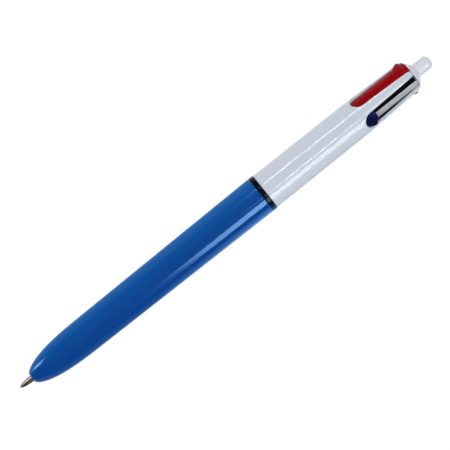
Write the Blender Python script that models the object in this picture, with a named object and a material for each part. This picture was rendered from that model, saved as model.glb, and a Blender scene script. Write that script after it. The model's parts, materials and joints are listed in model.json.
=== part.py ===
"""Four-colour click pen: one slide, spring and refill for each colour in a two-part barrel.

The pen lies along X with its writing tip at -X, its knob at +X and its pocket clip
underneath. The origin is on the resting surface, halfway along the pen.

Lengths along the pen are counted in millimetres from the end of the pushed-out tip,
as on a drawing, and the radii are in millimetres too. Everything is scaled to metres
when a mesh is made.
"""
import math

import bmesh
import bpy
from mathutils import Matrix, Vector

MM = 0.001

# Whole pen
LENGTH = 150.1
AXIS_HEIGHT = 7.7
TRAVEL = 14.9
FINE = 36
COARSE = 16

# Lower barrel and its nose
NOSE_END = 4.43
LOWER_TOP = 88.0
LOWER_RADIUS = 5.84
LOWER_TAPER = 0.0088
NOSE_ORIGIN = 3.8
NOSE_LENGTH = 21.2
NOSE_POWER = 2.7
NOSE_ROUNDNESS = 2.25
NOSE_BORE = 1.3
LOWER_WALL = 0.9
THREAD_BORE = 5.03
THREAD_BORE_END = 78.5

# Joint ring
RING_START = 88.06
RING_END = 89.54

# Upper barrel
UPPER_START = 89.6
UPPER_TOP = 143.15
UPPER_RADIUS = 5.72
UPPER_SLOT_RADIUS = 5.6
UPPER_TOP_RADIUS = 4.83
UPPER_TAPER_START = 123.8
UPPER_TAPER_END = 142.0
UPPER_BORE = 4.75
UPPER_TOP_BORE = 3.8
RIM_RADIUS = 4.1
NECK_START = 79.0
NECK_RADIUS = 4.7
NECK_BORE = 4.15
THREAD_PITCH = 1.5
THREAD_HEIGHT = 0.25
THREAD_START = 80.4
THREAD_TURNS = 4
SHOULDER = 91.0

# Slots in the upper barrel
SLOT_WIDTH = 5.16
SLOT_START = 123.84

# Guide core
CORE_START = 124.5
CORE_END = 143.1
CORE_FACE = 3.26
CORE_RADIUS = 3.68
CORE_ROD = 1.1
CORE_ROD_START = 105.0
GROOVE_START = 0.0
GROOVE_END = 2.5
GROOVE_DEPTH = 1.6
SPIGOT_RADIUS = 1.15
SPIGOT_END = 147.3

# Top cap and knob
CAP_START = 143.22
CAP_SHOULDER = [
    (143.45, 3.9),
    (143.75, 3.58),
    (144.05, 3.13),
    (144.35, 2.7),
    (144.65, 2.36),
    (145.0, 2.12),
    (145.2, 2.02),
]
KNOB_RADIUS = 2.06
KNOB_EDGE = 0.07
KNOB_START = 145.25
KNOB_ROUNDING = 1.55
SOCKET_RADIUS = 1.27

# Spring guide
GUIDE_START = 91.1
GUIDE_END = 93.0
GUIDE_RADIUS = 4.65
GUIDE_HOLE = 1.55
GUIDE_HOLE_RADIUS = 2.72

# Slides, at their retracted place
PIVOT = 116.0
PIVOT_RADIUS = 2.9
SLIDE_WIDTH = 4.92
SLIDE_START = 121.5
SLIDE_END = 143.0
SLIDE_BOTTOM = 3.36
SLIDE_CROWN = 4.6
TAB_TOP = 5.12
TAB_FRONT = 4.72
TAB_CROWN = 12.0
TAB_END = 142.05
LEG_SIDE = (0.15, 1.35)
LEG_BOTTOM = 1.8
TAIL_RADIUS = 1.5
FLANGE_RADIUS = 1.62
PIN_RADIUS = 0.6
PIN_START = 112.3

# Springs
SPRING_RADIUS = 1.5
SPRING_WIRE = 0.125
SPRING_TURNS = 12

# Refills: lengths from the writing end
REFILL_LENGTH = 101.1
BALL_RADIUS = 0.38
CONE_START = 0.3
CONE_END = 5.0
CONE_SHOULDER = [(1.0, 0.67), (1.7, 0.81), (3.0, 0.93)]
HOLDER_END = 12.0
TUBE_END = 101.0
TUBE_RADIUS = 1.2
TUBE_BORE = 0.8
RETRACTED_TIP_RADIUS = 2.45

# Pocket clip
CLIP_START = 106.0
CLIP_END = 143.0
CLIP_WIDTH = 3.6
CLIP_THICKNESS = 1.2
CLIP_ROOT_START = 138.6
CLIP_ROOT_WIDTH = 2.0
TANG_START = 140.4
TANG_WIDTH = 0.7
TANG_DEPTH = 4.1

# Each colour's place round the pen, in degrees from straight up, and its plastic
COLOURS = {
    "blue": (45.0, (0.012, 0.045, 0.30)),
    "red": (-45.0, (0.36, 0.006, 0.012)),
    "black": (135.0, (0.012, 0.012, 0.014)),
    "green": (-135.0, (0.006, 0.16, 0.05)),
}
PUSHED_OUT = "blue"


# ---------------------------------------------------------------- materials

def material(name, colour, roughness, metallic=0.0):
    """A plain Principled material."""
    made = bpy.data.materials.new(name)
    made.use_nodes = True
    shader = made.node_tree.nodes["Principled BSDF"]
    shader.inputs["Base Color"].default_value = (*colour, 1.0)
    shader.inputs["Roughness"].default_value = roughness
    shader.inputs["Metallic"].default_value = metallic
    return made


# ---------------------------------------------------------------- mesh helpers

def make_object(name, bm, finish=None):
    """Turn a bmesh in drawing millimetres into a closed object in metres."""
    bmesh.ops.recalc_face_normals(bm, faces=bm.faces)
    mesh = bpy.data.meshes.new(name)
    bm.to_mesh(mesh)
    bm.free()
    mesh.transform(Matrix.Scale(MM, 4))
    made = bpy.data.objects.new(name, mesh)
    bpy.context.scene.collection.objects.link(made)
    if finish:
        mesh.materials.append(finish)
        mesh.shade_smooth()
        mesh.set_sharp_from_angle(angle=math.radians(32.0))
    return made


def turned(name, profile, segments, finish=None, centre=0.0):
    """Turn (x, radius) points about the X axis, or about a line a height above it.

    A profile that begins and ends on the axis closes there; any other closes on itself.
    """
    bm = bmesh.new()
    rings = []
    for x, radius in profile:
        if radius < 1e-6:
            rings.append([bm.verts.new((x, 0.0, centre))])
            continue
        ring = []
        for step in range(segments):
            angle = 2 * math.pi * (step + 0.5) / segments
            ring.append(bm.verts.new((x, radius * math.sin(angle), centre + radius * math.cos(angle))))
        rings.append(ring)
    pairs = list(zip(rings, rings[1:]))
    if len(rings[0]) > 1:
        pairs.append((rings[-1], rings[0]))
    for first, second in pairs:
        for step in range(segments):
            after = (step + 1) % segments
            corners = [first[step % len(first)], first[after % len(first)]]
            corners += [second[after % len(second)], second[step % len(second)]]
            corners = list(dict.fromkeys(corners))
            bm.faces.new(corners)
    return make_object(name, bm, finish)


def prism(name, bottom, top, finish=None):
    """A closed solid between two outlines that have the same number of points."""
    bm = bmesh.new()
    low = [bm.verts.new(point) for point in bottom]
    high = [bm.verts.new(point) for point in top]
    bm.faces.new(low)
    bm.faces.new(high)
    for index, corner in enumerate(low):
        after = (index + 1) % len(low)
        bm.faces.new((corner, low[after], high[after], high[index]))
    return make_object(name, bm, finish)


def block(name, x, y, z, finish=None):
    """A box between two values on each axis."""
    outline = [(x[0], y[0]), (x[1], y[0]), (x[1], y[1]), (x[0], y[1])]
    return prism(name, [(*point, z[0]) for point in outline], [(*point, z[1]) for point in outline], finish)


def swept(name, path, section, finish=None):
    """Sweep a section along a coil about the X axis.

    path gives (x, angle, radius) and section gives (along, outward) offsets.
    """
    bm = bmesh.new()
    rings = []
    for x, angle, radius in path:
        outward = Vector((0.0, math.sin(angle), math.cos(angle)))
        ring = []
        for along, out in section:
            ring.append(bm.verts.new(outward * (radius + out) + Vector((x + along, 0.0, 0.0))))
        rings.append(ring)
    count = len(section)
    for first, second in zip(rings, rings[1:]):
        for index in range(count):
            after = (index + 1) % count
            bm.faces.new((first[index], first[after], second[after], second[index]))
    bm.faces.new(rings[0])
    bm.faces.new(rings[-1])
    return make_object(name, bm, finish)


def combine(base, others, operation):
    """Unite or cut the base with the others, and leave one plain mesh on it."""
    for other in others:
        step = base.modifiers.new(operation.title(), "BOOLEAN")
        step.operation = operation
        step.solver = "EXACT"
        step.object = other
    bpy.context.view_layer.update()
    depsgraph = bpy.context.evaluated_depsgraph_get()
    result = bpy.data.meshes.new_from_object(base.evaluated_get(depsgraph))
    base.modifiers.clear()
    base.data = result
    for other in others:
        bpy.data.objects.remove(other)
    result.shade_smooth()
    result.set_sharp_from_angle(angle=math.radians(32.0))
    return base


def place(piece, x=0.0, height=0.0, parent=None):
    """Put a piece at a length along its parent and a height above it, in millimetres."""
    piece.parent = parent
    piece.location = (x * MM, 0.0, height * MM)
    return piece


def holder(name, parent=None, x=0.0, height=0.0, turn=(0.0, 0.0, 0.0)):
    """An empty that carries the pieces of one place or one joint."""
    empty = bpy.data.objects.new(name, None)
    bpy.context.scene.collection.objects.link(empty)
    place(empty, x, height, parent)
    empty.rotation_euler = [math.radians(angle) for angle in turn]
    return empty


# ---------------------------------------------------------------- shared curves

def nose_radius(x):
    """Outer radius of the lower barrel: a slight taper that ends in a bullet nose."""
    tapered = LOWER_RADIUS - LOWER_TAPER * (LOWER_TOP - x)
    inward = max(0.0, (NOSE_ORIGIN + NOSE_LENGTH - x) / NOSE_LENGTH)
    return tapered * (1 - inward ** NOSE_POWER) ** (1 / NOSE_ROUNDNESS)


def spread(start, end, count):
    """Evenly spaced values from start to end, both included."""
    return [start + (end - start) * step / (count - 1) for step in range(count)]


def tilt_for(tip_radius):
    """Angle in degrees that takes a refill from its pivot to this radius at the tip."""
    return math.degrees(math.asin((PIVOT_RADIUS - tip_radius) / REFILL_LENGTH))


def slot_outline(start, width, end):
    """Plan of a slot with a round end towards the tip, as (x, y) points."""
    radius = width / 2
    middle = start + radius
    arc = [math.radians(angle) for angle in spread(90.0, 270.0, 13)]
    points = [(middle + radius * math.cos(angle), radius * math.sin(angle)) for angle in arc]
    return points + [(end, -radius), (end, radius)]


# ---------------------------------------------------------------- barrel

def lower_barrel(finish):
    """The blue front half: a bullet nose, a tapered wall and a bore for the thread."""
    nose = [NOSE_END, 4.8, 5.4, 6.3, 7.6, 9.4, 12.0, 15.5, 20.0, 25.0]
    outside = [(x, nose_radius(x)) for x in nose + [LOWER_TOP - 0.12]]
    outside += [(LOWER_TOP, LOWER_RADIUS - 0.12), (LOWER_TOP, THREAD_BORE)]
    bore = [(x, max(NOSE_BORE, nose_radius(x) - LOWER_WALL)) for x in nose]
    inside = [(THREAD_BORE_END, THREAD_BORE), (THREAD_BORE_END, nose_radius(THREAD_BORE_END) - LOWER_WALL)]
    return turned("lower_barrel", outside + inside + bore[::-1], FINE, finish)


def joint_ring(finish):
    """The black ring between the two halves."""
    edge = 0.1
    profile = [(RING_START, THREAD_BORE), (RING_START, LOWER_RADIUS - edge)]
    profile += [(RING_START + edge, LOWER_RADIUS), (RING_END - edge, LOWER_RADIUS)]
    profile += [(RING_END, LOWER_RADIUS - edge), (RING_END, THREAD_BORE)]
    return turned("joint_ring", profile, FINE, finish)


def neck_thread():
    """A raised helix on the neck, for the lower barrel to screw onto."""
    per_turn = 18
    path = []
    for step in range(per_turn * THREAD_TURNS + 1):
        turn = step / per_turn
        path.append((THREAD_START + turn * THREAD_PITCH, -2 * math.pi * turn, NECK_RADIUS))
    section = [(-0.42, -0.15), (-0.16, THREAD_HEIGHT), (0.16, THREAD_HEIGHT), (0.42, -0.15)]
    return swept("neck_thread", path, section)


def upper_barrel(finish):
    """The white rear half, with a threaded neck, four slots and a notch for the clip."""
    profile = [(NECK_START, NECK_BORE), (NECK_START, NECK_RADIUS - 0.2), (NECK_START + 0.2, NECK_RADIUS)]
    profile += [(UPPER_START, NECK_RADIUS), (UPPER_START, UPPER_RADIUS - 0.12)]
    profile += [(UPPER_START + 0.12, UPPER_RADIUS), (UPPER_TAPER_START, UPPER_SLOT_RADIUS)]
    profile += [(UPPER_TAPER_END, UPPER_TOP_RADIUS), (UPPER_TOP - 0.6, 4.66), (UPPER_TOP - 0.2, 4.42)]
    profile += [(UPPER_TOP, RIM_RADIUS), (UPPER_TOP, UPPER_TOP_BORE), (UPPER_TAPER_END, UPPER_TOP_BORE)]
    profile += [(UPPER_TAPER_START, UPPER_BORE), (SHOULDER, UPPER_BORE), (SHOULDER, NECK_BORE)]
    barrel = turned("upper_barrel", profile, FINE, finish)
    barrel = combine(barrel, [neck_thread()], "UNION")

    cutters = []
    outline = slot_outline(SLOT_START, SLOT_WIDTH, UPPER_TOP + 3)
    for angle, _ in COLOURS.values():
        cutter = prism("slot", [(*point, 2.6) for point in outline], [(*point, 9.0) for point in outline])
        cutter.rotation_euler.x = math.radians(angle)
        cutters.append(cutter)
    half = TANG_WIDTH / 2 + 0.1
    cutters.append(block("notch", (TANG_START - 0.15, UPPER_TOP + 1), (-half, half), (-6.0, -3.0)))
    return combine(barrel, cutters, "DIFFERENCE")


def top_cap(finish):
    """The shoulder that closes the slots, and the knob on it."""
    shoulder = [(CAP_START, SOCKET_RADIUS), (CAP_START, RIM_RADIUS - 0.05), *CAP_SHOULDER]
    knob = [(KNOB_START, KNOB_RADIUS - KNOB_EDGE), (KNOB_START + 2 * KNOB_EDGE, KNOB_RADIUS)]
    for angle in spread(0.0, 90.0, 6):
        reach = math.radians(angle)
        x = LENGTH - KNOB_ROUNDING * (1 - math.sin(reach))
        knob.append((x, KNOB_RADIUS * math.cos(reach)))
    knob[-1] = (LENGTH, 0.0)
    socket = [(SPIGOT_END + 0.2, 0.0), (SPIGOT_END + 0.2, SOCKET_RADIUS)]
    return turned("top_cap", socket + shoulder + knob, 32, finish)


def guide_core(finish):
    """The square column that the slides run along, with a groove in each face."""
    rod = [(CORE_ROD_START, 0.0), (CORE_ROD_START, CORE_ROD), (CORE_START, CORE_ROD)]
    column = [(CORE_START, CORE_RADIUS), (CORE_END, CORE_RADIUS)]
    spigot = [(CORE_END, SPIGOT_RADIUS), (SPIGOT_END, SPIGOT_RADIUS), (SPIGOT_END, 0.0)]
    core = turned("guide_core", rod + column + spigot, FINE, finish)
    groove = (GROOVE_START, GROOVE_END)
    cutters = []
    for angle, _ in COLOURS.values():
        along = (CORE_START - 0.5, CORE_END + 0.5)
        face = block("face", along, (-6.0, 6.0), (CORE_FACE, 8.0))
        channel = block("channel", along, groove, (CORE_FACE - GROOVE_DEPTH, 8.0))
        for cutter in (face, channel):
            cutter.rotation_euler.x = math.radians(angle)
            cutters.append(cutter)
    return combine(core, cutters, "DIFFERENCE")


def spring_guide(finish):
    """The disc that the four springs stand on, with a hole for each refill."""
    profile = [(GUIDE_START, 0.0), (GUIDE_START, GUIDE_RADIUS), (GUIDE_END, GUIDE_RADIUS), (GUIDE_END, 0.0)]
    disc = turned("spring_guide", profile, FINE, finish)
    cutters = []
    for angle, _ in COLOURS.values():
        hole = [(GUIDE_START - 1, 0.0), (GUIDE_START - 1, GUIDE_HOLE), (GUIDE_END + 1, GUIDE_HOLE)]
        cutter = turned("hole", hole + [(GUIDE_END + 1, 0.0)], COARSE, centre=GUIDE_HOLE_RADIUS)
        cutter.rotation_euler.x = math.radians(angle)
        cutters.append(cutter)
    return combine(disc, cutters, "DIFFERENCE")


def pocket_clip(finish):
    """The clip under the pen: a flat bar, a nub at its free end and a root in the notch."""
    inner = CLIP_THICKNESS
    half = CLIP_WIDTH / 2
    nub = AXIS_HEIGHT - UPPER_RADIUS - 0.12
    side = [(CLIP_START + 0.5, 0.0), (CLIP_END - 0.5, 0.0), (CLIP_END, 0.5), (CLIP_END, inner)]
    side += [(CLIP_START + 4.5, inner), (CLIP_START + 2.6, nub), (CLIP_START + 1.2, nub)]
    side += [(CLIP_START, 0.9), (CLIP_START, 0.4)]
    bar = prism("pocket_clip", [(x, -half, z) for x, z in side], [(x, half, z) for x, z in side], finish)
    root_half = CLIP_ROOT_WIDTH / 2
    root = block("root", (CLIP_ROOT_START, CLIP_END), (-root_half, root_half), (0.6, 3.6))
    gap = 0.06
    seat = [(UPPER_TAPER_START, 0.0), (UPPER_TAPER_START, UPPER_SLOT_RADIUS + gap)]
    seat += [(UPPER_TAPER_END, UPPER_TOP_RADIUS + gap), (145.0, UPPER_TOP_RADIUS + gap), (145.0, 0.0)]
    saddle = turned("saddle", seat, FINE, centre=AXIS_HEIGHT)
    tang_half = TANG_WIDTH / 2
    tang = block("tang", (TANG_START, CLIP_END), (-tang_half, tang_half), (0.7, AXIS_HEIGHT - TANG_DEPTH))
    root = combine(root, [saddle], "DIFFERENCE")
    return combine(bar, [root, tang], "UNION")


# ---------------------------------------------------------------- slides, springs and refills

def slide_mesh():
    """One slide, with its pivot at x = 0 and its height measured from the pen's axis."""
    half = SLIDE_WIDTH / 2
    rise = math.degrees(math.asin(half / SLIDE_CROWN))
    crown = [math.radians(angle) for angle in spread(-rise, rise, 11)]
    section = [(-half, SLIDE_BOTTOM)]
    section += [(SLIDE_CROWN * math.sin(angle), SLIDE_CROWN * math.cos(angle)) for angle in crown]
    section += [(half, SLIDE_BOTTOM)]
    start = SLIDE_START - PIVOT
    end = SLIDE_END - PIVOT
    plate = prism("slide", [(start, y, z) for y, z in section], [(end, y, z) for y, z in section])

    plan = slot_outline(SLOT_START + TRAVEL + 0.12 - PIVOT, SLIDE_WIDTH, TAB_END - PIVOT)
    front = plan[6][0]
    peak = TAB_END - 0.4 - PIVOT
    top = []
    for x, y in plan:
        share = min(1.0, (x - front) / (peak - front))
        middle = TAB_FRONT + (TAB_TOP - TAB_FRONT) * share
        top.append((x, y, middle - TAB_CROWN + math.sqrt(TAB_CROWN ** 2 - y ** 2)))
    tab = prism("tab", [(x, y, 3.6) for x, y in plan], top)

    leg = block("leg", (start + 0.02, end - 0.6), LEG_SIDE, (LEG_BOTTOM, 3.8))
    flange_end = 1.0
    flat = 0.05
    tail = [(flat, 0.0), (flat, FLANGE_RADIUS), (flange_end, FLANGE_RADIUS), (flange_end, TAIL_RADIUS)]
    tail += [(start + 0.8, TAIL_RADIUS), (start + 0.8, 0.0)]
    stem = turned("stem", tail, COARSE, centre=PIVOT_RADIUS)
    pin_start = PIN_START - PIVOT
    pin_profile = [(pin_start, 0.0), (pin_start, PIN_RADIUS - 0.15), (pin_start + 0.3, PIN_RADIUS)]
    pin = turned("pin", pin_profile + [(0.5, PIN_RADIUS), (0.5, 0.0)], 12, centre=PIVOT_RADIUS)
    made = combine(plate, [tab, leg, stem, pin], "UNION")
    mesh = made.data
    bpy.data.objects.remove(made)
    return mesh


def slide(name, mesh, finish, parent, pushed):
    """A slide that shares its mesh with the other three, at its place along the pen."""
    made = bpy.data.objects.new(name, mesh.copy())
    bpy.context.scene.collection.objects.link(made)
    made.data.materials.clear()
    made.data.materials.append(finish)
    return place(made, PIVOT - pushed, 0.0, parent)


def spring(name, length, finish):
    """A compression spring below x = 0, with its end turns closed."""
    per_turn = 8
    closed = SPRING_WIRE * 2.3
    room = length - 2 * SPRING_WIRE - 2 * closed
    open_pitch = room / (SPRING_TURNS - 2)
    path = []
    for step in range(SPRING_TURNS * per_turn + 1):
        turn = step / per_turn
        x = SPRING_WIRE + closed * min(turn, 1.0)
        x += open_pitch * min(max(turn - 1.0, 0.0), SPRING_TURNS - 2.0)
        x += closed * max(turn - SPRING_TURNS + 1.0, 0.0)
        path.append((-x, 2 * math.pi * turn, SPRING_RADIUS))
    corners = [math.radians(angle) for angle in (0, 90, 180, 270)]
    section = [(SPRING_WIRE * math.cos(angle), SPRING_WIRE * math.sin(angle)) for angle in corners]
    return swept(name, path, section, finish)


def refill_tip_ball(name, finish):
    """The writing ball, in refill lengths."""
    profile = []
    for angle in spread(0.0, 180.0, 9):
        bend = math.radians(angle)
        profile.append((BALL_RADIUS - BALL_RADIUS * math.cos(bend), BALL_RADIUS * math.sin(bend)))
    profile[-1] = (2 * BALL_RADIUS, 0.0)
    return turned(name, profile, 12, finish)


def refill_cone(name, finish):
    """The metal cone with a cup for the ball and a shank for the holder."""
    cup = BALL_RADIUS + 0.03
    shank = 0.68
    seat = CONE_START + 0.55
    profile = [(seat, 0.0), (seat, cup), (CONE_START, cup), (CONE_START, cup + 0.05)]
    profile += CONE_SHOULDER
    profile += [(CONE_END, 1.0), (CONE_END, shank), (CONE_END + 2.6, shank), (CONE_END + 2.6, 0.0)]
    return turned(name, profile, COARSE, finish)


def refill_holder(name, finish):
    """The brass holder between the cone and the tube."""
    start = CONE_END + 0.06
    socket = 0.75
    spigot = 0.72
    profile = [(start + 2.7, 0.0), (start + 2.7, socket), (start, socket), (start, 1.0)]
    profile += [(HOLDER_END - 3.0, 1.0), (HOLDER_END - 2.6, 1.12), (HOLDER_END, 1.12), (HOLDER_END, spigot)]
    profile += [(HOLDER_END + 4.0, spigot), (HOLDER_END + 4.0, 0.0)]
    return turned(name, profile, COARSE, finish)


def refill_tube(name, finish):
    """The ink tube, open at both ends."""
    start = HOLDER_END + 0.06
    profile = [(start, TUBE_BORE), (start, TUBE_RADIUS), (TUBE_END, TUBE_RADIUS), (TUBE_END, TUBE_BORE)]
    return turned(name, profile, COARSE, finish)


def colour_group(colour, angle, paint, slide_shape, metals):
    """The slide, spring and refill of one colour, in their place round the pen."""
    pushed = TRAVEL if colour == PUSHED_OUT else 0.0
    tip_radius = 0.0 if colour == PUSHED_OUT else RETRACTED_TIP_RADIUS
    plastic = material(colour + "_plastic", paint, 0.3)
    tube_plastic = material(colour + "_tube", paint, 0.25)
    around = holder(colour + "_place", None, -LENGTH / 2, AXIS_HEIGHT, (angle, 0.0, 0.0))
    slide("slide_" + colour, slide_shape, plastic, around, pushed)
    tilt = (0.0, -tilt_for(tip_radius), 0.0)
    pivot = holder(colour + "_pivot", around, PIVOT - pushed, PIVOT_RADIUS, tilt)
    length = PIVOT - pushed - GUIDE_END - 0.1
    coil = spring("spring_" + colour, length, metals["steel"])
    place(coil, 0.0, 0.0, pivot)
    refill = [refill_tube("refill_tube_" + colour, tube_plastic)]
    refill.append(refill_holder("tip_holder_" + colour, metals["brass"]))
    refill.append(refill_cone("tip_cone_" + colour, metals["nickel"]))
    refill.append(refill_tip_ball("tip_ball_" + colour, metals["ball"]))
    for piece in refill:
        place(piece, -REFILL_LENGTH, 0.0, pivot)


# ---------------------------------------------------------------- the whole pen

def clear_scene():
    """Start from an empty scene."""
    for old in list(bpy.data.objects):
        bpy.data.objects.remove(old)


def main():
    clear_scene()
    white = material("white_plastic", (0.78, 0.80, 0.84), 0.25)
    body = holder("barrel_axis", None, -LENGTH / 2, AXIS_HEIGHT)
    place(lower_barrel(material("blue_plastic_barrel", (0.010, 0.085, 0.33), 0.2)), parent=body)
    place(joint_ring(material("black_ring", (0.01, 0.01, 0.012), 0.3)), parent=body)
    place(upper_barrel(white), parent=body)
    place(top_cap(material("knob_plastic", (0.80, 0.82, 0.85), 0.3)), parent=body)
    place(guide_core(material("core_plastic", (0.42, 0.43, 0.45), 0.4)), parent=body)
    place(spring_guide(material("guide_plastic", (0.6, 0.6, 0.62), 0.45)), parent=body)
    surface = holder("resting_surface", None, -LENGTH / 2, 0.0)
    place(pocket_clip(white), parent=surface)

    metals = {
        "steel": material("spring_steel", (0.55, 0.55, 0.56), 0.3, 1.0),
        "brass": material("holder_brass", (0.72, 0.52, 0.24), 0.3, 1.0),
        "nickel": material("tip_metal", (0.70, 0.62, 0.46), 0.25, 1.0),
        "ball": material("ball_metal", (0.5, 0.5, 0.5), 0.2, 1.0),
    }
    shape = slide_mesh()
    for colour, (angle, paint) in COLOURS.items():
        colour_group(colour, angle, paint, shape, metals)
    bpy.context.view_layer.update()


main()
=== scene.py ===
import math

import bmesh
import bpy
from mathutils import Matrix, Vector
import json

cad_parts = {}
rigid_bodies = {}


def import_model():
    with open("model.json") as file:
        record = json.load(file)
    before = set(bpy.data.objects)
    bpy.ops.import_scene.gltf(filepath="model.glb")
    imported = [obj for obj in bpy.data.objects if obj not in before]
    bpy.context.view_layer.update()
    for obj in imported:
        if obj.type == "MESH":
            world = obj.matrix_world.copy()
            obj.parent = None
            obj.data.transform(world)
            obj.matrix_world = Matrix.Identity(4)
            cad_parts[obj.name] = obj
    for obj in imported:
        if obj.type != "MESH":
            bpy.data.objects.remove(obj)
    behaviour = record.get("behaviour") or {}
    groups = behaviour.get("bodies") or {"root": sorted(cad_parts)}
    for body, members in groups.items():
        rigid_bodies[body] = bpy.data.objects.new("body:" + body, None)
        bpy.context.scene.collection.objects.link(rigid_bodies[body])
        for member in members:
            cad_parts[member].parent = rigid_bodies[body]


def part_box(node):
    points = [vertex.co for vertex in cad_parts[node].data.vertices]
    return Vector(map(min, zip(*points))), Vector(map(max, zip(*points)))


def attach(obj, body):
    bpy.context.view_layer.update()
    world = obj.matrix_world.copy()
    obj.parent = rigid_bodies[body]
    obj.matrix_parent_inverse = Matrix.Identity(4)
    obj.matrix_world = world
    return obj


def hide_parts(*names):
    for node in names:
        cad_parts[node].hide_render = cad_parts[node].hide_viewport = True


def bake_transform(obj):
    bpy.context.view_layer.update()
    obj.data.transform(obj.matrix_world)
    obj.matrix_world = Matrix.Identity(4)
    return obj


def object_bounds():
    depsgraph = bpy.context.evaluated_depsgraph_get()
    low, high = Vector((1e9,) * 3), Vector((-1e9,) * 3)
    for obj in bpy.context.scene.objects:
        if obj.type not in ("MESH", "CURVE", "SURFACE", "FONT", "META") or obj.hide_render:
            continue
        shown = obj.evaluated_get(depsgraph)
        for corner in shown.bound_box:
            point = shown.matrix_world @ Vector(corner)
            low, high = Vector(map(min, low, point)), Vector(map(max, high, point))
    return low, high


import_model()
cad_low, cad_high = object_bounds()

MM = 0.001
LENGTH = 150.1
RING_LOW, RING_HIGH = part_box("joint_ring")
ORIGIN = Vector((cad_high.x - LENGTH * MM, 0.0, (RING_LOW.z + RING_HIGH.z) / 2))
AXIS_HEIGHT = ORIGIN.z / MM
SHARP = math.radians(30.0)

# Sides of a turned shape: a barrel, a middling piece and a small one.
ROUND = 144
ROUND_MIDDLE = 96
ROUND_SMALL = 48

# Where each colour's slide is, in degrees about the pen's axis from its top.
COLOURS = {"blue": 45.0, "red": -45.0, "black": 135.0, "green": -135.0}


def span(node):
    """Start and end of a CAD node along the pen, in drawing millimetres."""
    low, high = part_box(node)
    return (low.x - ORIGIN.x) / MM, (high.x - ORIGIN.x) / MM


def spread(start, end, count):
    """Evenly spaced values from start to end, both included."""
    return [start + (end - start) * step / (count - 1) for step in range(count)]


def ease(value):
    """Smooth step from 0 to 1."""
    held = min(1.0, max(0.0, value))
    return held * held * (3 - 2 * held)


# ---------------- materials

def node(tree, kind, **settings):
    """A shader node with some of its sockets set."""
    made = tree.nodes.new(kind)
    for key, value in settings.items():
        if hasattr(made, key):
            setattr(made, key, value)
        else:
            made.inputs[key.replace("_", " ")].default_value = value
    return made


def blank(name):
    """A new material with its node tree and its shader."""
    material = bpy.data.materials.new(name)
    material.use_nodes = True
    tree = material.node_tree
    return material, tree, tree.nodes["Principled BSDF"]


def grain(tree, scale, stretch=(1.0, 1.0, 1.0), detail=3.0, roughness=0.55):
    """Noise that sticks to the piece: scale is in features per metre."""
    coordinates = node(tree, "ShaderNodeTexCoord")
    mapping = node(tree, "ShaderNodeMapping", Scale=stretch)
    noise = node(tree, "ShaderNodeTexNoise", Scale=scale, Detail=detail, Roughness=roughness)
    tree.links.new(coordinates.outputs["Object"], mapping.inputs["Vector"])
    tree.links.new(mapping.outputs["Vector"], noise.inputs["Vector"])
    return noise.outputs["Fac"]


def one_axis(tree, source, axis):
    """One axis of a texture coordinate."""
    coordinates = node(tree, "ShaderNodeTexCoord")
    split = node(tree, "ShaderNodeSeparateXYZ")
    tree.links.new(coordinates.outputs[source], split.inputs[0])
    return split.outputs[axis]


def remap(tree, value, low, high, from_low=0.3, from_high=0.7):
    """Map a noise value to a range."""
    made = node(tree, "ShaderNodeMapRange", clamp=True, From_Min=from_low, From_Max=from_high,
                To_Min=low, To_Max=high)
    tree.links.new(value, made.inputs["Value"])
    return made.outputs["Result"]


def mixed(tree, factor, first, second):
    """Mix two colours, given as values or as sockets, by a socket."""
    made = node(tree, "ShaderNodeMix", data_type="RGBA")
    tree.links.new(factor, made.inputs["Factor"])
    for socket, value in ((made.inputs[6], first), (made.inputs[7], second)):
        if isinstance(value, tuple):
            socket.default_value = (*value, 1.0)
        else:
            tree.links.new(value, socket)
    return made.outputs[2]


def worn_edges(tree):
    """1 on a piece's outer edges and 0 elsewhere."""
    geometry = node(tree, "ShaderNodeNewGeometry")
    return remap(tree, geometry.outputs["Pointiness"], 0.0, 1.0, 0.52, 0.60)


def bumped(tree, layers):
    """Stack bump layers of (height socket, strength, distance in metres)."""
    normal = None
    for height, strength, distance in layers:
        bump = node(tree, "ShaderNodeBump", Strength=strength, Distance=distance)
        tree.links.new(height, bump.inputs["Height"])
        if normal:
            tree.links.new(normal, bump.inputs["Normal"])
        normal = bump.outputs["Normal"]
    return normal


def shift(colour, gain, lift=0.0):
    """A colour made a little lighter or darker."""
    return tuple(min(1.0, max(0.0, channel * gain + lift)) for channel in colour)


PLASTIC_IOR = 1.46


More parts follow.
